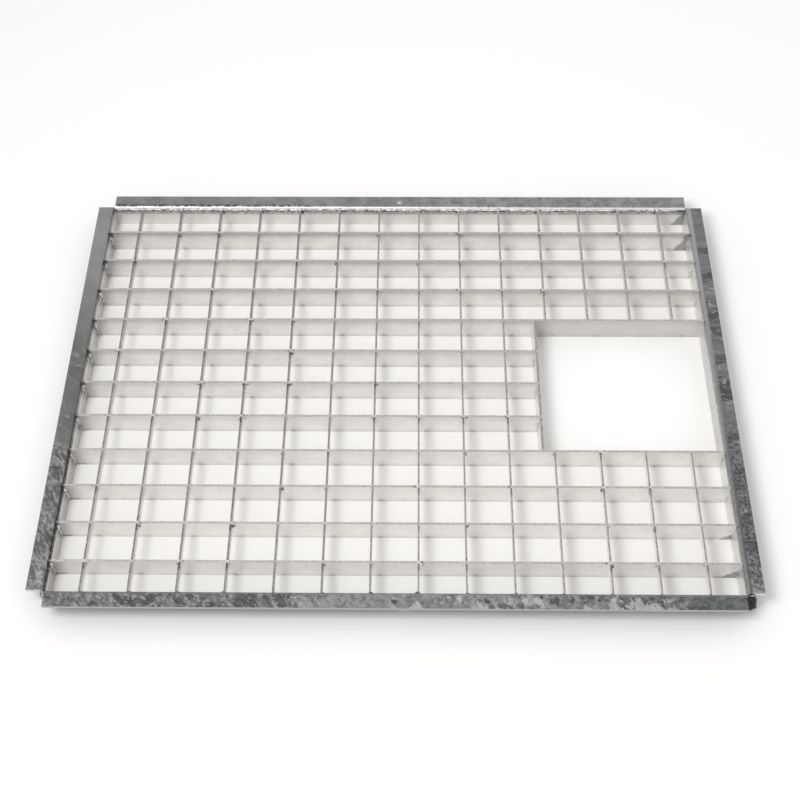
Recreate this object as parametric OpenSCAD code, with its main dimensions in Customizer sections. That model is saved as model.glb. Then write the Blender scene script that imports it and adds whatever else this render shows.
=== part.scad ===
// Steel grating panel with a flanged edge frame and a rectangular cut-out.
// The panel lies flat: +X runs along the load bars, +Y across them, +Z up.
// The origin is at the middle of the frame, on the plane that the bars rest on.

/* [Frame] */
// Clear width inside the frame, along the load bars
clear_x = 552; // [450:1:700]
// Clear depth inside the frame, across the load bars
clear_y = 400; // [340:1:500]
// Thickness of the folded angle section
angle_t = 3; // [2:0.5:3]
// Width of the flange, from the inner face of the leg to the outer edge
flange_w = 14; // [12:0.5:30]
// Outside radius of the fold between leg and flange
fold_r = 3.5; // [3.5:0.5:8]
// How far the long flanges stop short of the legs of the side angles
flange_gap = 1; // [0:0.5:3]
// Diameter of the fixing hole at the middle of each long flange
hole_d = 5; // [3:0.5:6]

/* [Grating] */
// Depth of the load bars, and the height of the whole panel
bar_depth = 24; // [20:1:50]
// Thickness of the load bars and of the trim bar
bar_t = 2; // [1.5:0.5:3]
// Spacing of the load bars, centre to centre
load_pitch = 34.3; // [30:0.1:40]
// How far the middle load bar lies from the middle of the frame
load_offset = -3; // [-4:0.5:4]
// Depth of the cross bars
cross_depth = 8; // [6:1:15]
// Thickness of the cross bars
cross_t = 1.5; // [1:0.5:3]
// Spacing of the cross bars, centre to centre
cross_pitch = 38.1; // [34:0.1:50]

/* [Cut-out] */
// Load bars cut short on each side of the middle one, which is cut too
cut_bars = 1; // [0:1:2]
// Distance from the right-hand leg to the trim bar
cut_width = 151.5; // [100:0.5:200]

/* [Hidden] */
half_x = clear_x / 2;
half_y = clear_y / 2;
leg_h = bar_depth - fold_r;
// Load bars on each side of the middle one, and cross bars on each side of the middle of the panel
load_side = floor((half_y - abs(load_offset)) / load_pitch);
cross_side = floor(half_x / cross_pitch + 0.5);
// Whole load bars border the cut-out, this far on each side of the middle one
cut_y = (cut_bars + 1) * load_pitch;
// Face of the trim bar towards the cut-out
cut_x = half_x - cut_width;
// The holes lie half a millimetre outside the middle of the flange
hole_y = half_y + flange_w / 2 + 0.5;
zinc = "#9b9b98";
dull_zinc = "#7d7e7d";

// Section of the angle: leg along +Y from the origin, fold, then flange along +X at the top
module angle_section() {
    square([angle_t, leg_h]);
    translate([fold_r, bar_depth - angle_t])
        square([flange_w - fold_r, angle_t]);
    translate([fold_r, leg_h])
        intersection() {
            difference() {
                circle(r = fold_r, $fn = 64);
                circle(r = fold_r - angle_t, $fn = 48);
            }
            translate([-fold_r, 0])
                square(fold_r);
        }
}

// A length of angle centred along X, the inner face of its leg on Y = 0, its flange towards +Y
module angle_bar(length) {
    rotate([90, 0, 90])
        translate([0, 0, -length / 2])
            linear_extrude(height = length)
                angle_section();
}

// A long edge angle: the flange is notched square at both ends, and the leg
// runs on past the short angles to close the corners
module long_angle() {
    difference() {
        union() {
            angle_bar(clear_x - 2 * flange_gap);
            translate([-half_x - angle_t, 0, 0])
                cube([clear_x + 2 * angle_t, angle_t, leg_h]);
        }
        translate([0, hole_y - half_y, bar_depth / 2])
            cylinder(d = hole_d, h = bar_depth, $fn = 48);
    }
}

// A load bar standing on its edge, from one X position to another
module load_bar(y, x_from, x_to) {
    translate([x_from, y - bar_t / 2, 0])
        cube([x_to - x_from, bar_t, bar_depth]);
}

// A cross bar pressed in flush with the top, from one Y position to another
module cross_bar(x, y_from, y_to) {
    translate([x - cross_t / 2, y_from, bar_depth - cross_depth])
        cube([cross_t, y_to - y_from, cross_depth]);
}

module grating() {
    color(zinc) {
        for (i = [-load_side : load_side])
            load_bar(load_offset + i * load_pitch, -half_x,
                     abs(i) <= cut_bars ? cut_x - bar_t : half_x);
        for (i = [0.5 - cross_side : cross_side - 0.5])
            let (x = i * cross_pitch)
                if (x < cut_x)
                    cross_bar(x, -half_y, half_y);
                else {
                    cross_bar(x, -half_y, load_offset - cut_y);
                    cross_bar(x, load_offset + cut_y, half_y);
                }
    }
}

// Flat bar that closes the ends of the short load bars
module cutout_trim_bar() {
    color(zinc)
        translate([cut_x - bar_t, load_offset - cut_y + bar_t / 2, 0])
            cube([bar_t, 2 * cut_y - bar_t, bar_depth]);
}

module angle_far() {
    color(dull_zinc)
        translate([0, half_y, 0])
            long_angle();
}

module angle_near() {
    color(dull_zinc)
        rotate(180)
            translate([0, half_y, 0])
                long_angle();
}

module angle_left() {
    color(dull_zinc)
        rotate(90)
            translate([0, half_x, 0])
                angle_bar(clear_y);
}

module angle_right() {
    color(dull_zinc)
        rotate(-90)
            translate([0, half_x, 0])
                angle_bar(clear_y);
}

grating();
cutout_trim_bar();
angle_far();
angle_near();
angle_left();
angle_right();
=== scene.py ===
"""Galvanised steel grating panel: zinc finishes, weld beads, studio floor, light and camera."""
import math
import random

import bpy
from mathutils import Matrix, Vector


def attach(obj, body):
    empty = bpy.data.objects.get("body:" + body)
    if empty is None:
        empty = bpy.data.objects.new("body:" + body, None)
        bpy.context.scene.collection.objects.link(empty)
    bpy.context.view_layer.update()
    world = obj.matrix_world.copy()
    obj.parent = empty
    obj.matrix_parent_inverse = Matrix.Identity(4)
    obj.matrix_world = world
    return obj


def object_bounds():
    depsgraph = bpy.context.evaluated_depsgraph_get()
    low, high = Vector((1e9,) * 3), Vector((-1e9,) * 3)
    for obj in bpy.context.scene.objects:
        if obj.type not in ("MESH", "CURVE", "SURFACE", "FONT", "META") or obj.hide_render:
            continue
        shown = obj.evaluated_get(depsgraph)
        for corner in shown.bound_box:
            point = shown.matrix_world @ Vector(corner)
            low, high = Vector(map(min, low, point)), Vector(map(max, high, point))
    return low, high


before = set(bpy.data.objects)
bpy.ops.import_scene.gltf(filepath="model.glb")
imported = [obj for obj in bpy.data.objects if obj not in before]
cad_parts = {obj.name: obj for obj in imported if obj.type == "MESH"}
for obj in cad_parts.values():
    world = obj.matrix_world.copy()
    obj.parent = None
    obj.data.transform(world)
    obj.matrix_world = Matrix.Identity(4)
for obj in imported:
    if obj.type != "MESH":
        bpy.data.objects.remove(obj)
cad_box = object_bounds()

# Sizes and places are in millimetres, with the far side at +Y and the cut-out at +X.
MM = 0.001
FLANGE = 14                                     # width of the flanges, from the inner faces of the legs
INNER_X = round(cad_box[1][0] / MM) - FLANGE    # inner faces of the side angles
INNER_Y = round(cad_box[1][1] / MM) - FLANGE    # inner faces of the long angles
BAR = 2                                         # thickness of the load bars and of the trim bar
LOAD_PITCH = 34.3                               # load bars, centre to centre
LOAD_OFFSET = -3                                # the middle load bar from the frame's middle
CROSS_PITCH = 38.1                              # cross bars, centre to centre
CUT_WIDTH = 151.5                               # from the right-hand leg to the trim bar
TRIM_X = INNER_X - CUT_WIDTH - BAR              # left face of the trim bar
TRIM_ENDS = [LOAD_OFFSET + side * (2 * LOAD_PITCH - BAR / 2) for side in (1, -1)]
LOAD_BARS = [LOAD_OFFSET + (5 - row) * LOAD_PITCH for row in range(11)]    # far to near
CROSS_BARS = [(column - 6.5) * CROSS_PITCH for column in range(14)]        # left to right
SHORT_BARS = LOAD_BARS[4:7]                                                # end at the trim bar
LONG_BARS = LOAD_BARS[:4] + LOAD_BARS[7:]
CORNER_SHADOW_LEAN = 0.24      # how far the dark mass of painted shade in the near right corner leans outwards, for each millimetre down


# ---------------------------------------------------------------- shader expressions
class Value:
    """A shader socket. Arithmetic on it adds Math nodes."""

    def __init__(self, finish, socket):
        self.finish = finish
        self.socket = socket

    def math(self, operation, *others):
        return self.finish.node("ShaderNodeMath", {"operation": operation}, [self, *others])

    def __add__(self, other):
        return self.math("ADD", other)

    __radd__ = __add__

    def __mul__(self, other):
        return self.math("MULTIPLY", other)

    __rmul__ = __mul__

    def __sub__(self, other):
        return self.math("SUBTRACT", other)

    def __rsub__(self, other):
        return self * -1 + other

    def __truediv__(self, other):
        return self.math("DIVIDE", other)

    def __neg__(self):
        return self * -1

    def __abs__(self):
        return self.math("ABSOLUTE")

    def least(self, other):
        return self.math("MINIMUM", other)

    def most(self, other):
        return self.math("MAXIMUM", other)

    def above(self, low, high):
        """0 under low and 1 over high, with a soft step between."""
        return self.finish.node(
            "ShaderNodeMapRange", {"interpolation_type": "SMOOTHSTEP"},
            {"Value": self, "From Min": low, "From Max": high})

    def below(self, low, high):
        return 1 - self.above(low, high)

    def near(self, centre, half, soft):
        """1 within half of the centre, falling to 0 over soft."""
        return abs(self - centre).below(half, half + soft)


class Finish:
    """A procedural material and its nodes. Places and sizes in it are in millimetres."""

    def __init__(self, name):
        self.material = bpy.data.materials.new(name)
        self.material.use_nodes = True
        self.tree = self.material.node_tree
        self.tree.nodes.clear()
        metres = self.node("ShaderNodeTexCoord", out="Object")
        self.place = self.vector("MULTIPLY", metres, (1000, 1000, 1000))
        self.x, self.y, self.z = (self.part(axis) for axis in "XYZ")
        self.facing = self.node("ShaderNodeNewGeometry", out="Normal")
        self.up = self.part("Z", self.facing)

    def node(self, kind, settings=None, inputs=None, out=0):
        made = self.tree.nodes.new(kind)
        for key, setting in (settings or {}).items():
            setattr(made, key, setting)
        pairs = inputs.items() if isinstance(inputs, dict) else enumerate(inputs or [])
        for key, given in pairs:
            if isinstance(given, Value):
                self.tree.links.new(given.socket, made.inputs[key])
            else:
                made.inputs[key].default_value = given
        return Value(self, made.outputs[out])

    def vector(self, operation, *given):
        return self.node("ShaderNodeVectorMath", {"operation": operation}, list(given))

    def part(self, axis, source=None):
        return self.node("ShaderNodeSeparateXYZ", None, [source or self.place], out=axis)

    def laid(self, turn, long, short):
        """The place on a pattern that lies turned about +Z, long one way and short the other."""
        return self.node("ShaderNodeMapping", {"vector_type": "TEXTURE"},
                         {"Vector": self.place, "Rotation": (0, 0, math.radians(turn)),
                          "Scale": (long, short, short)})

    def noise(self, size=1, detail=3, rough=0.5, vector=None, wobble=0):
        return self.node("ShaderNodeTexNoise", None,
                         {"Vector": vector or self.place, "Scale": 1 / size, "Detail": detail,
                          "Roughness": rough, "Distortion": wobble})

    def patches(self, vector):
        """A different grey for each cell of a Voronoi pattern."""
        colour = self.node("ShaderNodeTexVoronoi", None, {"Vector": vector, "Scale": 1}, out="Color")
        return self.part("X", colour)

    def chance(self, *places):
        """A random number for each whole-numbered place."""
        spot = self.node("ShaderNodeCombineXYZ", None, list(places))
        return self.node("ShaderNodeTexWhiteNoise", {"noise_dimensions": "3D"}, {"Vector": spot})

    def mix(self, amount, low, high):
        """A colour from low, at amount 0, to high."""
        return self.node("ShaderNodeMix", {"data_type": "RGBA"}, {0: amount, 6: low, 7: high}, out=2)

    def bump(self, height, strength, distance):
        return self.node("ShaderNodeBump", None,
                         {"Strength": strength, "Distance": distance * MM, "Height": height}, out="Normal")

    def close(self, shader):
        output = self.tree.nodes.new("ShaderNodeOutputMaterial")
        self.tree.links.new(shader.socket, output.inputs["Surface"])
        return self.material

    def metal(self, **inputs):
        return self.close(self.node("ShaderNodeBsdfPrincipled", None,
                                    {key.replace("_", " "): given for key, given in inputs.items()}))


def grey(level, warmth=0.0):
    """A grey as a colour, slightly warm above 0 and slightly cool below it."""
    return (level * (1 + warmth), level, level * (1 - warmth), 1)


# ---------------------------------------------------------------- the bars' finish
class BarZinc(Finish):
    """The bars' finish, with the patterns that its faces and top edges share."""

    def __init__(self):
        super().__init__("bar_zinc")
        row = (self.y - LOAD_OFFSET) / LOAD_PITCH + 0.5
        column = self.x / CROSS_PITCH
        self.from_load = (row.math("FRACT") - 0.5) * LOAD_PITCH          # signed, + is behind the bar
        self.from_cross = (column.math("FRACT") - 0.5) * CROSS_PITCH     # signed, + is right of the bar
        self.luck = self.chance(row.math("FLOOR"), column.math("FLOOR"), 3.0)
        self.cloud = self.noise(18, detail=4)
        self.grain = self.noise(2.2, detail=3, rough=0.6)
        self.ragged = self.noise(5, detail=3, rough=0.6)
        self.from_left = self.x + INNER_X + self.ragged * 7              # raggedly, from the left angle
        self.tip = self.from_left.below(4.8, 6.2)


def bar_face(zinc):
    """Light and even. Painted light makes the near rows lighter, and painted shade darkens the faces high up
    in the far rows, at the foot, on the right-hand sides of the cross bars left of the middle, and on the bar
    behind the cut-out."""
    even = zinc.cloud.above(0.35, 0.65) * 0.7 + zinc.grain.above(0.3, 0.7) * 0.3
    face = zinc.mix(even, grey(0.78, 0.02), grey(0.88, 0.018))
    # Painted light: the near rows' faces are lightened, as they catch less of the softbox.
    face = zinc.mix(zinc.y.below(-180, 60) * 0.3, face, grey(0.96, 0.015))
    # Painted shade: the faces darken towards the top, more in the far rows.
    high = zinc.z.above(15, 23.5) * (zinc.y / 330 + 0.28).most(0)
    face = zinc.mix(high, face, grey(0.45, 0.02))
    # Painted shade on the right-hand sides of the cross bars left of the middle, which face away from the
    # softbox.
    right_hand = zinc.part("X", zinc.facing).above(0.8, 0.9) * zinc.x.below(-30, 30)
    face = zinc.mix(right_hand * zinc.z.above(18.5, 21) * 0.45, face, grey(0.36, 0.01))
    # Painted contact shade at the foot: a soft band and a thin line along the floor.
    foot = zinc.z.below(0.5, 6) * 0.2 + zinc.z.below(0.3, 1.1) * 0.25
    face = zinc.mix(foot, face, grey(0.3, 0.02))
    # Painted shade on the face behind the cut-out, which lies open and catches more light.
    behind_cut_out = zinc.x.above(TRIM_X, TRIM_X + 3) * zinc.y.near(LOAD_BARS[3], 2, 1)
    return zinc.mix(behind_cut_out * 0.6, face, grey(0.45, 0.02))


def bar_stains_and_shadows(zinc, face):
    """Painted shadows low on the faces beside each cross bar, where its cast shadow falls, a few specks, and
    soot at the outer bars' right ends.
    """
    lag = zinc.x * 0.0185 + 6.9      # how far right of its cross bar the painted shadow lies, as the softbox casts it
    aside = (zinc.from_cross + CROSS_PITCH - lag).math("MODULO", CROSS_PITCH)
    # Painted shadow: dark spots low on the faces where each cross bar's cast shadow falls.
    painted_foot_shadow = aside.least(CROSS_PITCH - aside).below(1.2, 3) * zinc.z.below(1.5, 5)
    face = zinc.mix(painted_foot_shadow * zinc.ragged.above(0.3, 0.6) * 0.4, face, grey(0.22, 0.03))
    speck = zinc.noise(3, detail=2).above(0.70, 0.74)
    face = zinc.mix(speck * 0.4, face, grey(0.3))
    slope = zinc.y.below(-10, 10) * 0.6 + 0.3
    spread = zinc.y.above(50, 150) * 1.5 + zinc.y.below(-165, -160) * 5
    from_right = INNER_X - zinc.x + zinc.z * slope + zinc.ragged * 12 + zinc.grain * 6
    soot = (from_right - spread).below(17.5, 19) * abs(zinc.y).above(136, 138)
    face = zinc.mix(soot * (zinc.grain * 0.9 + 0.2), face, grey(0.12, 0.03))
    fleck = zinc.grain.above(0.6, 0.66) * zinc.x.above(INNER_X - 10, INNER_X - 5)
    return zinc.mix(fleck * 0.7, face, grey(0.15))


def bar_left_ends(zinc, face):
    """Black blobs by the left angle in the far rows, painted shade from the left angle on the faces near it
    and along their foot, and dark tips.
    """
    blob = zinc.from_left.below(7, 8.5) * zinc.z.above(16.5, 18) * zinc.y.above(150, 155)
    small = zinc.from_left.below(5, 6.5) * zinc.z.above(19, 21) * zinc.y.above(-10, 0)
    face = zinc.mix(blob.most(small * 0.8) * 0.85, face, grey(0.05))
    # Painted shade: the faces near the left angle darken, most at the foot and in the near rows.
    foot = zinc.from_left.below(11, 15) * zinc.z.below(2, 4.5) * (zinc.y.below(-160, 100) * 0.5 + 0.25)
    face = zinc.mix((zinc.from_left.below(5, 20) * 0.35).most(foot), face, grey(0.17, 0.03))
    return zinc.mix(zinc.tip * zinc.z.above(20, 21.5) * 0.8, face, grey(0.09))


def bar_top(zinc):
    """Worn edges. The cross bars' tops are darker, as painted shade, and the tops by the far angle carry a
    painted highlight. Crossings have a light spot and a dark stretch in front.
    """
    patchy = zinc.grain.above(0.35, 0.65)
    # Painted shade: the cross bars' tops are darker than the load bars', and darker still towards the left.
    to_right = zinc.x.above(-120, 60)
    load_top = zinc.mix(patchy, grey(0.42, 0.04), grey(0.60, 0.04))
    cross_top = zinc.mix(patchy, zinc.mix(to_right, grey(0.18, 0.05), grey(0.28, 0.05)),
                         zinc.mix(to_right, grey(0.34, 0.05), grey(0.48, 0.05)))
    in_front = (zinc.from_load + 4).near(0, 2.2, 1.6) * abs(zinc.from_cross).below(1.05, 1.2)
    in_front = in_front * zinc.luck.above(0.3, 0.7) * (0.8 - to_right * 0.3)
    cross_top = zinc.mix(in_front, cross_top, grey(0.07))
    edge = zinc.mix(abs(zinc.from_load).below(1.05, 1.2), cross_top, load_top)
    spot = abs(zinc.from_load).below(0.8, 1.6) * abs(zinc.from_cross).below(0.9, 1.8)
    edge = zinc.mix(spot * zinc.luck.above(0.5, 0.9) * 0.5, edge, grey(0.8, 0.01))
    # Painted highlight: the tops by the far angle are near white, carrying on the far fold's bright strip.
    edge = zinc.mix(zinc.y.above(INNER_Y - 5, INNER_Y - 3.5) * 0.8, edge, grey(0.95))
    return zinc.mix(zinc.tip * 0.8, edge, grey(0.09))


def bar_zinc():
    """Light zinc on the upright faces and darker zinc on top, chosen by which way each surface faces: painted
    light and reflection, with real wear on the tops. Now and then a dark lump.
    """
    zinc = BarZinc()
    face = bar_left_ends(zinc, bar_stains_and_shadows(zinc, bar_face(zinc)))
    # Painted light and reflection: upright faces take the light colour, tops the dark one.
    colour = zinc.mix(zinc.up.above(0.6, 0.8), face, bar_top(zinc))
    crossing = abs(zinc.from_cross).below(3, 5) * abs(zinc.from_load).below(5, 8) * zinc.z.above(18, 21)
    dark_lump = zinc.noise(3.4, detail=1, rough=0.3).above(0.6, 0.64) * crossing * zinc.luck.above(0.6, 0.65)
    colour = zinc.mix(dark_lump * 0.8, colour, grey(0.12))
    return zinc.metal(Base_Color=colour, Metallic=0.6, Roughness=zinc.grain * 0.2 + 0.3,
                      Normal=zinc.bump(zinc.grain * 0.4 + zinc.cloud * 2, 0.3, 0.3))


# ---------------------------------------------------------------- the angles' finishes
class AngleZinc(Finish):
    """The finish of one angle of the frame. outward is the distance from the inner face of its leg."""

    def __init__(self, name, outward):
        super().__init__(name)
        self.cloud = self.noise(22, detail=4, wobble=0.4)
        self.grain = self.noise(2.5, detail=4, rough=0.65)
        self.ragged = self.noise(3.5, detail=3, rough=0.7)
        self.outward = outward(self)


def angle_zinc(name, outward, flange_shade, fold_shade, face_shade, under_shade=0.34):
    """Zinc on one angle. flange_shade gives the colour and relief of the flat of the flange, fold_shade what
    the fold adds, face_shade the grey of the leg's inner face and under_shade that of the hidden side, which
    on the near angle is kept dark as painted shade under its flange."""
    zinc = AngleZinc(name, outward)
    flange, relief = flange_shade(zinc)
    face = zinc.mix(zinc.cloud.above(0.35, 0.65) * 0.6 + zinc.grain.above(0.3, 0.7) * 0.4,
                    grey(face_shade * 0.92, 0.02), grey(face_shade * 1.08, 0.015))
    # Painted contact shade: a dark line at the foot of the leg.
    face = zinc.mix(zinc.z.below(0.3, 1.1) * 0.2, face, grey(0.25, 0.02))
    # The hidden side is the underside of the flange and the outer face of the leg; on the near angle its dark
    # grey is painted shade.
    hidden = zinc.outward.above(2.5, 2.9) * zinc.outward.below(13.8, 13.9) * zinc.z.below(21.1, 21.3)
    under = zinc.mix(zinc.cloud.above(0.3, 0.7), grey(under_shade * 0.85), grey(under_shade * 1.15))
    face = zinc.mix(hidden, face, under)
    soot = (INNER_X - zinc.x + zinc.z * 0.5 + zinc.ragged * 14).below(17, 19)
    face = zinc.mix(soot * zinc.y.near(INNER_Y, 0.5, 0.3) * 0.75, face, grey(0.22))
    # Painted light and reflection: the leg's upright faces take a light grey, the flange's top a dark one.
    colour = fold_shade(zinc, zinc.mix(zinc.up.above(0.15, 0.45), face, flange))
    return zinc.metal(Base_Color=colour, Metallic=0.8, Roughness=zinc.grain * 0.2 + 0.3,
                      Normal=zinc.bump(relief + zinc.grain * 0.5 + zinc.cloud, 0.35, 0.35))


def far_fold(zinc, colour):
    """A bright strip along the fold, a painted highlight; a darker band under it, partly painted shade and
    partly ragged dark marks; dark dashes above and under it; and a light wall in the hole, painted light.
    """
    # Painted light: the far wall of the hole is made white.
    wall = zinc.up.below(0.1, 0.3) * zinc.outward.near(7.5, 3, 0.5) * zinc.z.above(21, 21.2)
    wall = wall * zinc.x.near(0, 3, 1)
    colour = zinc.mix(wall, colour, grey(1))
    above_leg = zinc.z.above(20.7, 21.3)
    # Painted highlight: the bright strip along the fold.
    colour = zinc.mix(zinc.outward.below(1.0, 1.6) * above_leg, colour, grey(0.9))
    # Darker high on the leg: partly painted shade, partly ragged dark marks.
    under = zinc.z.near(17.8, 1.5, 3.2) * (zinc.ragged.above(0.36, 0.58) * 0.6 + 0.35)
    colour = zinc.mix(under * zinc.outward.below(0.3, 0.5) * 0.66, colour, grey(0.14))
    low_dash = zinc.z.near(19.6, 0.9, 0.6) * zinc.noise(4.5, detail=2).above(0.47, 0.54)
    colour = zinc.mix(low_dash * zinc.outward.below(0.4, 0.6) * 0.8, colour, grey(0.05))
    high_dash = (zinc.ragged + zinc.x.below(-170, 20) * 0.14).above(0.60, 0.68) * above_leg
    return zinc.mix(high_dash * zinc.outward.near(2.6, 1.1, 0.8) * 0.8, colour, grey(0.05))


def left_fold(zinc, colour):
    """A dark line of painted shade in the crease along the near half of the fold, darker spots of it at the
    bars further on, a fainter line on the far half, and a light strip under it."""
    bar = ((zinc.y - LOAD_OFFSET) / LOAD_PITCH + 0.5).math("FRACT")
    at_bar = ((bar - 0.5) * LOAD_PITCH + 5).near(0, 3.5, 3) * zinc.ragged.above(0.42, 0.52)
    along = (zinc.y + zinc.ragged * 40).below(-60, 10)
    strip = zinc.z.near(16.5, 2, 2.5) * zinc.outward.below(0.3, 0.5)
    colour = zinc.mix(strip * 0.5, colour, grey(0.92, 0.01))
    patchy = zinc.ragged.above(0.3, 0.55) * 0.35 + 0.6
    # Painted shade in the crease of the fold, ragged and broken.
    line = zinc.outward.below(0.5, 1.0) * (zinc.z + zinc.ragged * 4).above(17.5, 20.5)
    colour = zinc.mix(line * along.most(at_bar * 0.8) * patchy, colour, grey(0.015))
    return zinc.mix(line * (1 - along) * 0.35, colour, grey(0.12))


def right_fold(zinc, colour):
    """A grey band of painted light and shade over the rounded fold, darkening outwards and lighter towards
    the far end, with a thin dark line at its foot, and painted shade on the leg beside the cut-out.
    """
    # Painted light and shade across the rounded fold, from the light leg to the dark flange.
    far = zinc.y.above(-160, 160)
    strip = zinc.mix(zinc.outward.above(0.2, 3.4), zinc.mix(far, grey(0.36), grey(0.42)),
                     zinc.mix(far, grey(0.14, -0.02), grey(0.42, -0.01)))
    strip = zinc.mix(zinc.ragged.above(0.35, 0.65) * (0.4 - far * 0.3), strip, grey(0.12))
    # Painted shade on the leg beside the cut-out, which lies open and catches more light.
    beside_cut_out = zinc.z.below(20, 21) * zinc.y.near(LOAD_OFFSET, 50, 20) * zinc.outward.below(0.3, 0.5)
    colour = zinc.mix(beside_cut_out * 0.5, colour, grey(0.42, 0.01))
    colour = zinc.mix(zinc.outward.below(3.2, 4.8) * zinc.z.above(20.6, 21.4), colour, strip)
    line = zinc.z.near(19.8, 0.6, 0.8) * zinc.ragged.above(0.36, 0.5) * zinc.outward.below(0.6, 1)
    return zinc.mix(line * zinc.y.below(40, 160) * 0.6, colour, grey(0.10))


def near_fold(zinc, colour):
    """A lighter band along the fold and a light front edge."""
    colour = zinc.mix(zinc.outward.above(13.9, 13.95), colour, grey(0.46))
    return zinc.mix(zinc.outward.below(2.2, 3.4) * 0.4, colour, grey(0.38))


def far_flange(zinc):
    """Dull even grey, finely mottled right of the middle, with a few light specks."""
    mottle = zinc.noise(9, detail=5, rough=0.65)
    even = zinc.cloud.above(0.3, 0.7) * 0.5 + mottle.above(0.35, 0.65) * 0.5
    plain = zinc.mix(even, grey(0.225, -0.005), grey(0.355, 0.012))
    fine = mottle.above(0.38, 0.62) * 0.6 + zinc.grain.above(0.35, 0.65) * 0.4
    mottled = zinc.mix(fine, grey(0.20, -0.012), grey(0.42, -0.005))
    colour = zinc.mix(zinc.x.above(-40, 60) * 0.8, plain, mottled)
    speck = zinc.noise(4, detail=2).above(0.64, 0.72)
    return zinc.mix(speck * 0.35, colour, grey(0.6, 0.012)), 0


def strokes(zinc, turn, long, short):
    """Feathered strokes of uneven length, which cross each other here and there."""
    along, across = zinc.laid(turn, long, short), zinc.laid(turn + 35, long * 0.7, short * 1.2)
    one = zinc.noise(vector=along, detail=5, rough=0.62, wobble=1.2)
    other = zinc.noise(vector=across, detail=5, rough=0.62, wobble=1.2)
    share = zinc.noise(16, detail=2).above(0.45, 0.6)
    return one * (1 - share) + other * share


def left_flange(zinc):
    """Smooth at the far end, with a few thin veins in the middle and feathered strokes at the near end."""
    even = zinc.cloud.above(0.3, 0.7) * 0.6 + zinc.grain.above(0.3, 0.7) * 0.4
    smooth = zinc.mix(zinc.y.above(20, 150), zinc.mix(even, grey(0.155, 0.015), grey(0.23, 0.015)),
                      zinc.mix(even, grey(0.28, 0.015), grey(0.365, 0.015)))
    vein = abs(zinc.noise(vector=zinc.laid(-42, 60, 30), detail=2, wobble=0.4) - 0.5).below(0.004, 0.016)
    vein = vein * zinc.y.below(30, 60) * zinc.grain.above(0.4, 0.6)
    colour = zinc.mix(vein * 0.4, smooth, grey(0.5, 0.015))
    end = (zinc.y + zinc.cloud * 20).below(-172, -158)
    colour = zinc.mix(end * 0.5, colour, grey(0.36, 0.015))

    stroke = strokes(zinc, -55, 10, 2.6)
    broad = zinc.noise(vector=zinc.laid(-60, 18, 9), detail=5, rough=0.65, wobble=0.8)
    near_half = (zinc.y + zinc.cloud * 30).below(-75, -25)
    colour = zinc.mix(broad.below(0.42, 0.5) * near_half * 0.5, colour, grey(0.08, 0.015))
    colour = zinc.mix(stroke.below(0.42, 0.47) * near_half * 0.45, colour, grey(0.07, 0.015))
    light = (stroke * 0.7 + broad * 0.3).above(0.49, 0.58) * near_half
    return zinc.mix(light * (zinc.grain * 0.9 + 0.2), colour, grey(0.48, 0.015)), light * 0.6


def right_flange(zinc):
    """Dark blue-grey plates with lighter bands and thin veins, speckled and streaked at the near end."""
    plate = zinc.patches(zinc.laid(4, 30, 15))
    near_half = (zinc.y + zinc.cloud * 30).below(-60, 0)
    shade = plate.above(0.3, 0.7) * 0.6 + zinc.cloud.above(0.3, 0.7) * 0.25
    shade = shade + zinc.grain.above(0.3, 0.7) * 0.15 + zinc.y.above(20, 160) * 0.08 + near_half * 0.12
    colour = zinc.mix(shade, grey(0.09, -0.05), grey(0.25, -0.02))
    band = zinc.noise(vector=zinc.laid(8, 40, 7), detail=2, wobble=0.5).above(0.52, 0.62)
    colour = zinc.mix(band * 0.6, colour, grey(0.30, -0.02))
    speckle = zinc.noise(3.0, detail=4, rough=0.65).below(0.44, 0.52)
    colour = zinc.mix(speckle * (near_half * 0.6 + 0.14), colour, grey(0.055, -0.05))
    vein = abs(zinc.noise(vector=zinc.laid(-20, 26, 14), detail=1, wobble=0.8) - 0.5).below(0.006, 0.022)
    vein = vein * zinc.grain.above(0.42, 0.55) * zinc.y.below(130, 160)
    stroke = zinc.noise(vector=zinc.laid(-28, 14, 3.5), detail=5, rough=0.6, wobble=0.4).above(0.53, 0.6)
    end = INNER_Y + zinc.y
    light = vein.most(stroke * end.below(12, 30)).most(end.below(1.6, 2.2))
    return zinc.mix(light * 0.65, colour, grey(0.52, -0.01)), light * 0.4


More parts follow.
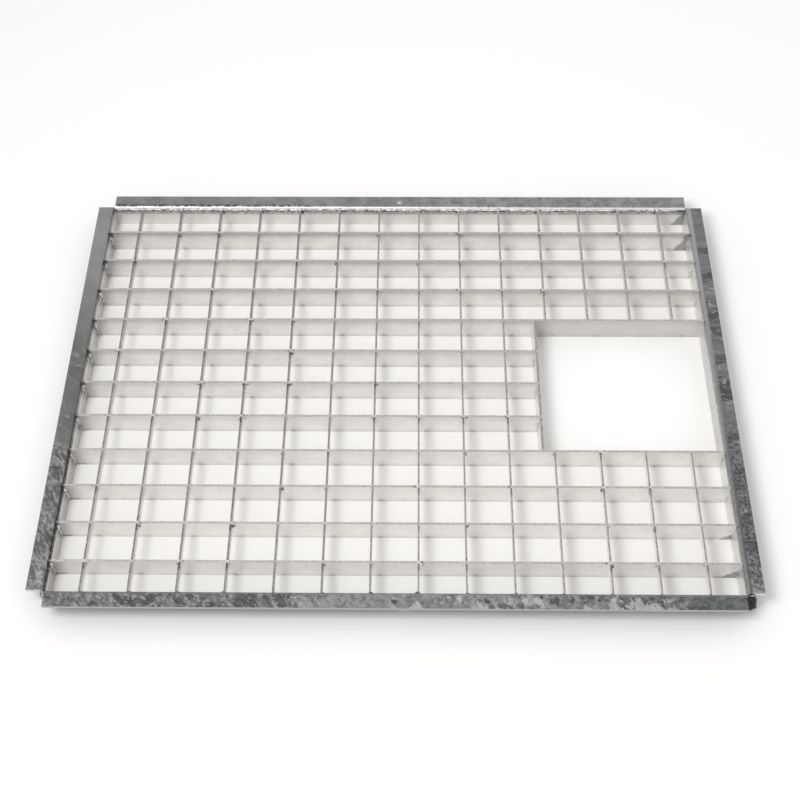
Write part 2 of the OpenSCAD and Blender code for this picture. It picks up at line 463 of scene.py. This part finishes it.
def near_flange(zinc):
    """Blotched, with slanting light strokes: calm in the middle, then pale patches, dark at the right end."""
    end = zinc.x.above(205, 240)
    busy = 1 - (zinc.x.near(-5, 30, 55) * 0.58).most(end * 0.75)
    bloom = zinc.noise(5, detail=5, rough=0.65, wobble=0.8)
    even = zinc.cloud.above(0.3, 0.7) * 0.3 + zinc.grain.above(0.3, 0.7) * 0.2 + bloom.above(0.35, 0.65) * 0.5
    base = zinc.mix(even, grey(0.13, 0.02), grey(0.24, 0.02))
    base = zinc.mix(zinc.x.near(15, 85, 50), base, zinc.mix(even, grey(0.22, 0.02), grey(0.37, 0.02)))
    base = zinc.mix(end, base, zinc.mix(even, grey(0.08, -0.03), grey(0.21, -0.03)))
    broad = zinc.noise(vector=zinc.laid(-50, 20, 10), detail=4, rough=0.6, wobble=0.8)
    colour = zinc.mix(broad.below(0.41, 0.49) * busy * 0.7, base, grey(0.065, 0.02))
    colour = zinc.mix(bloom.below(0.40, 0.47) * busy * 0.6, colour, grey(0.065, 0.02))
    stroke = strokes(zinc, -50, 13, 3) * 0.65 + bloom * 0.35
    light = stroke.above(0.50, 0.57) * busy * (zinc.grain + 0.3).least(1)
    colour = zinc.mix(light * 0.7, colour, grey(0.42, 0.02))
    patch = zinc.noise(vector=zinc.laid(-60, 9, 7), detail=5, rough=0.6) + zinc.cloud * 0.5
    patch = (patch - (zinc.y + INNER_Y + 8) / 80).above(0.81, 0.88) * (zinc.grain + 0.35).least(1)
    patch = patch * zinc.x.above(-20, 20) * (1 - end * 0.9)
    return zinc.mix(patch * 0.75, colour, grey(0.64, 0.02)), light.most(patch) * 0.5


# ---------------------------------------------------------------- the finishes of welds and dross
def weld_zinc(name, pits, humps):
    """Zinc over a weld: lumpy, lighter on the humps than in the pits, and darker at the foot as painted
    contact shade.
    """
    zinc = Finish(name)
    lumps = zinc.noise(3.2, detail=4, rough=0.6)
    grain = zinc.noise(1.2, detail=2)
    colour = zinc.mix(lumps.above(0.36, 0.52), grey(pits), grey(humps, 0.015))
    # Painted contact shade at the foot of each bead.
    colour = zinc.mix(zinc.z.below(1.5, 4.0) * 0.7, colour, grey(0.16))
    return zinc.metal(Base_Color=colour, Metallic=0.6, Roughness=grain * 0.2 + 0.3,
                      Normal=zinc.bump(lumps + grain * 0.4, 0.5, 0.5))


def dark_lump_zinc(name, low, high):
    """Dark dross left in the zinc at some crossings and corners. It also makes the dark mass that stands in
    for deep shadow in the near right corner, its outer rim greyer as a painted soft shadow edge.
    """
    zinc = Finish(name)
    lumps = zinc.noise(2.0, detail=3)
    colour = zinc.mix(lumps.above(0.4, 0.62), grey(low), grey(high))
    # Painted shadow: the outer rim of the near right corner's dark mass fades to grey.
    rim = (zinc.x + zinc.z * CORNER_SHADOW_LEAN).above(INNER_X + 10, INNER_X + 12.5)
    colour = zinc.mix(rim, colour, grey(0.12))
    return zinc.metal(Base_Color=colour, Metallic=0.5, Roughness=lumps * 0.3 + 0.4,
                      Normal=zinc.bump(lumps, 0.5, 0.4))


def dress(name, material):
    """Gives a CAD node its finish."""
    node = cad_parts[name]
    node.data.materials.clear()
    node.data.materials.append(material)


def dress_frame():
    bars = bar_zinc()
    dress("grating", bars)
    dress("cutout_trim_bar", bars)
    angles = {
        "far": angle_zinc("far_zinc", lambda zinc: zinc.y - INNER_Y, far_flange, far_fold, 0.80),
        # The near angle's hidden side is dark grey as painted shade under its flange.
        "near": angle_zinc("near_zinc", lambda zinc: -zinc.y - INNER_Y, near_flange, near_fold, 0.66, 0.12),
        "left": angle_zinc("left_zinc", lambda zinc: -zinc.x - INNER_X, left_flange, left_fold, 0.62),
        "right": angle_zinc("right_zinc", lambda zinc: zinc.x - INNER_X, right_flange, right_fold, 0.80),
    }
    for side, zinc in angles.items():
        dress(f"angle_{side}", zinc)


dress_frame()


# ---------------------------------------------------------------- welds and drops of zinc
def deselect():
    bpy.ops.object.select_all(action="DESELECT")


def lump(radius, rough, seed):
    """A rounded lump of zinc, the start of every weld bead and drop."""
    deselect()
    bpy.ops.mesh.primitive_uv_sphere_add(segments=10, ring_count=7, radius=radius * MM)
    bpy.ops.object.mode_set(mode="EDIT")
    bpy.ops.mesh.select_all(action="SELECT")
    bpy.ops.transform.vertex_random(offset=rough * MM, uniform=0.4, normal=0.7, seed=seed)
    bpy.ops.mesh.normals_make_consistent(inside=False)
    bpy.ops.object.mode_set(mode="OBJECT")
    bpy.ops.object.shade_smooth()
    return bpy.context.object


def lay(name, material, patterns, spots, chances):
    """One piece made of copies of the patterns, one for each spot: a place, a stretch and a turn."""
    copies = []
    for place, stretch, turn in spots:
        made = chances.choice(patterns).copy()
        made.data = made.data.copy()
        bpy.context.collection.objects.link(made)
        made.location = Vector(place) * MM
        made.scale = stretch
        made.rotation_euler = [math.radians(angle) for angle in turn]
        copies.append(made)
    deselect()
    for made in copies:
        made.select_set(True)
    bpy.context.view_layer.objects.active = copies[0]
    bpy.ops.object.transform_apply(location=True, rotation=True, scale=True)
    bpy.ops.object.join()
    piece = bpy.context.object
    piece.name = name
    piece.data.name = name
    piece.data.materials.clear()
    piece.data.materials.append(material)
    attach(piece, "root")


def end_welds(x, bars, side, height, size, chances):
    """Spots for a lumpy bead down the corner in front of each bar's end; side is the way to the bar."""
    spots = []
    foot = 3.4
    steps = round(height / 3)
    for y in bars:
        for step in range(steps):
            here = size * chances.uniform(0.6, 1.15) * (0.6 + 0.4 * step / steps)
            place = (x + side * chances.uniform(0.2, 1.4) * size, y - 1 - chances.uniform(0.3, 1.3) * size,
                     foot + (height - foot) * step / steps + chances.uniform(-0.6, 0.6))
            turn = (chances.uniform(-20, 20), chances.uniform(-30, 30), chances.uniform(0, 90))
            spots.append((place, (here, here * 0.9, here * 1.3), turn))
    return spots


def cross_bar_ends(chances):
    """Spots where the cross bars meet the long angles."""
    spots = []
    for x in CROSS_BARS:
        for side in (1, -1):
            size = chances.uniform(0.6, 1.1)
            place = (x + chances.uniform(-1.6, 1.6), side * (INNER_Y - 0.6), chances.uniform(17, 20.5))
            spots.append((place, (size * 1.2, size * 0.7, size), (0, chances.uniform(-40, 40), 0)))
    return spots


def fold_drips(chances):
    """Spots for frozen drips along the foot of the far fold."""
    spots = []
    x = -INNER_X + 6
    while x < INNER_X - 4:
        length = chances.uniform(1.2, 3.2)
        place = (x, INNER_Y - 0.1, chances.uniform(20.5, 21.2))
        stretch = (length, chances.uniform(0.35, 0.6), chances.uniform(0.3, 0.6))
        spots.append((place, stretch, (0, chances.uniform(-12, 12), 0)))
        x += length * chances.uniform(1.6, 3.4)
    return spots


def crossing_lumps(chances):
    """Spots for small knobs, light and dark, in front of some crossings."""
    light, dark = [], []
    for y in LOAD_BARS:
        for x in CROSS_BARS:
            if (y in SHORT_BARS and x > TRIM_X) or chances.random() > 0.36:
                continue
            size = chances.uniform(0.3, 0.62)
            place = (x + chances.choice((-1.6, 1.6)), y - chances.uniform(1.2, 1.8),
                     chances.uniform(19.5, 22))
            stretch = (size, size * 0.8, size * chances.uniform(0.8, 1.5))
            spot = (place, stretch, (0, chances.uniform(-40, 40), 0))
            (dark if chances.random() < 0.3 else light).append(spot)
    return light, dark


def corner_beads(chances):
    """Spots for beads across three of the open corners, where the angles meet."""
    spots = []
    for across, along in ((-1, -1), (-1, 1), (1, 1)):
        for step in range(4):
            x = across * (INNER_X + 0.5 + step * 0.9)
            y = along * (INNER_Y + 3.2 - step * 0.9)
            size = chances.uniform(0.6, 0.9)
            spots.append(((x, y, chances.uniform(15, 19)), (size, size, size * 1.6), (0, 0, 45)))
    return spots


def corner_shadow_lumps(chances):
    """Spots for lumps of a dark mass that fills the open corner at the near right as painted shade, leaning
    outwards as they go down.
    """
    spots = []
    for column in range(4):
        for row in range(7):
            height = 4 + row * 2.7
            place = (INNER_X + 1.2 + column * 1.5 + (20 - height) * CORNER_SHADOW_LEAN,
                     -INNER_Y - 3.4 + column * 0.4, height)
            place = [along + chances.uniform(-0.3, 0.3) for along in place]
            spots.append((place, (1.0, 0.9, 1.3), (0, 0, chances.uniform(0, 90))))
    return spots


def welds():
    """All beads, drips and dross, and the dark mass of painted shade in the near right corner. One seeded
    source gives every chance, so the order of the calls matters.
    """
    chances = random.Random(11)
    patterns = [lump(1.6, 0.55, seed) for seed in (1, 2, 3, 4)]
    weld = weld_zinc("weld_zinc", 0.30, 0.88)
    plain_weld = weld_zinc("plain_weld_zinc", 0.50, 0.78)
    left_weld = weld_zinc("left_weld_zinc", 0.42, 0.80)
    dross = dark_lump_zinc("dark_lump_zinc", 0.06, 0.30)
    black = dark_lump_zinc("black_painted_shadow", 0.015, 0.05)

    beads = end_welds(-INNER_X, LOAD_BARS, 1, 20, 0.95, chances)
    lay("left_end_welds", left_weld, patterns, beads, chances)
    beads = end_welds(INNER_X, LONG_BARS, -1, 16, 0.5, chances)
    lay("right_end_welds", plain_weld, patterns, beads, chances)
    beads = end_welds(TRIM_X, SHORT_BARS, -1, 18, 0.6, chances)
    beads += [((TRIM_X + BAR / 2, y, 22.4), (1.2, 0.7, 0.8), (0, 0, 0)) for y in TRIM_ENDS]
    lay("trim_welds", plain_weld, patterns, beads, chances)
    lay("cross_bar_end_welds", dross, patterns, cross_bar_ends(chances), chances)
    lay("far_fold_drips", weld, patterns, fold_drips(chances), chances)
    light, dark = crossing_lumps(chances)
    lay("crossing_knobs", weld, patterns, light, chances)
    lay("crossing_dross", dross, patterns, dark, chances)
    lay("corner_welds", weld, patterns, corner_beads(chances), chances)
    # The dark mass in the near right corner stands in for deep shadow: painted shade.
    lay("near_right_corner_painted_shadow", black, patterns, corner_shadow_lumps(chances), chances)
    for pattern in patterns:
        bpy.data.objects.remove(pattern)


welds()


# ---------------------------------------------------------------- floor, world, light, camera
def studio_floor():
    """A pale floor that shows a little lighter where it lies open: its glow is cut where ambient occlusion
    finds the panel close, which paints extra shade near and under the panel.
    """
    deselect()
    bpy.ops.mesh.primitive_plane_add(size=30, location=(0, 0, 0))
    floor = bpy.context.object
    floor.name = "studio_floor"
    paint = Finish("pale_floor")
    direct, glossy, through = (paint.node("ShaderNodeLightPath", out=f"Is {ray} Ray")
                               for ray in ("Camera", "Glossy", "Transmission"))
    lies_open = paint.node("ShaderNodeAmbientOcclusion", {"samples": 8}, {"Distance": 0.06}, out="AO")
    # Painted shade: the camera-ray glow fades where ambient occlusion finds the panel near.
    shown = direct.most(glossy).most(through) * lies_open.above(0.5, 0.97)
    body = paint.node("ShaderNodeBsdfDiffuse", None, {"Color": (0.88, 0.868, 0.853, 1)})
    glow = paint.node("ShaderNodeEmission", None, {"Color": (1, 0.99, 0.98, 1), "Strength": 0.08})
    lift = paint.node("ShaderNodeMixShader", None, {0: shown, 2: glow})
    floor.data.materials.append(paint.close(paint.node("ShaderNodeAddShader", None, [body, lift])))


def room_light():
    """Plain grey room over a pale horizon."""
    world = bpy.data.worlds.new("room")
    bpy.context.scene.world = world
    world.use_nodes = True
    nodes, links = world.node_tree.nodes, world.node_tree.links
    direction = nodes.new("ShaderNodeTexCoord")
    height = nodes.new("ShaderNodeSeparateXYZ")
    fade = nodes.new("ShaderNodeMapRange")
    shade = nodes.new("ShaderNodeMix")
    fade.interpolation_type = "SMOOTHSTEP"
    fade.inputs["From Min"].default_value = 0.08
    fade.inputs["From Max"].default_value = 0.35
    shade.data_type = "RGBA"
    shade.inputs[6].default_value = (0.88, 0.88, 0.88, 1)
    shade.inputs[7].default_value = (0.72, 0.72, 0.72, 1)
    links.new(direction.outputs["Generated"], height.inputs[0])
    links.new(height.outputs["Z"], fade.inputs["Value"])
    links.new(fade.outputs[0], shade.inputs[0])
    links.new(shade.outputs[2], nodes["Background"].inputs["Color"])


def softbox():
    """A round softbox above the near left corner, as bright at the far corner as at the near one."""
    data = bpy.data.lights.new("softbox", "AREA")
    data.shape = "DISK"
    data.size = 0.45
    data.energy = 4.85
    data.use_nodes = True
    nodes, links = data.node_tree.nodes, data.node_tree.links
    falloff = nodes.new("ShaderNodeLightFalloff")
    falloff.inputs["Strength"].default_value = 1
    links.new(falloff.outputs["Constant"], nodes["Emission"].inputs["Strength"])
    lamp = bpy.data.objects.new("softbox", data)
    bpy.context.scene.collection.objects.link(lamp)
    lamp.location = (-0.373, -0.40, 0.95)
    aim = lamp.location - Vector((0.3, 0.15, 0))
    lamp.rotation_euler = aim.to_track_quat("Z", "Y").to_euler()


def camera():
    data = bpy.data.cameras.new("camera")
    data.sensor_width = 36
    data.lens = 54.1
    view = bpy.data.objects.new("camera", data)
    bpy.context.scene.collection.objects.link(view)
    yaw, tilt, roll = (math.radians(a) for a in (1.232, 32.992, -0.819))
    turn = Matrix.Rotation(yaw, 4, "Z") @ Matrix.Rotation(tilt, 4, "X") @ Matrix.Rotation(roll, 4, "Z")
    view.matrix_world = Matrix.Translation((0.015, -0.58647, 0.89527)) @ turn
    bpy.context.scene.camera = view


studio_floor()
room_light()
softbox()
camera()
bpy.context.scene.view_settings.view_transform = "Standard"
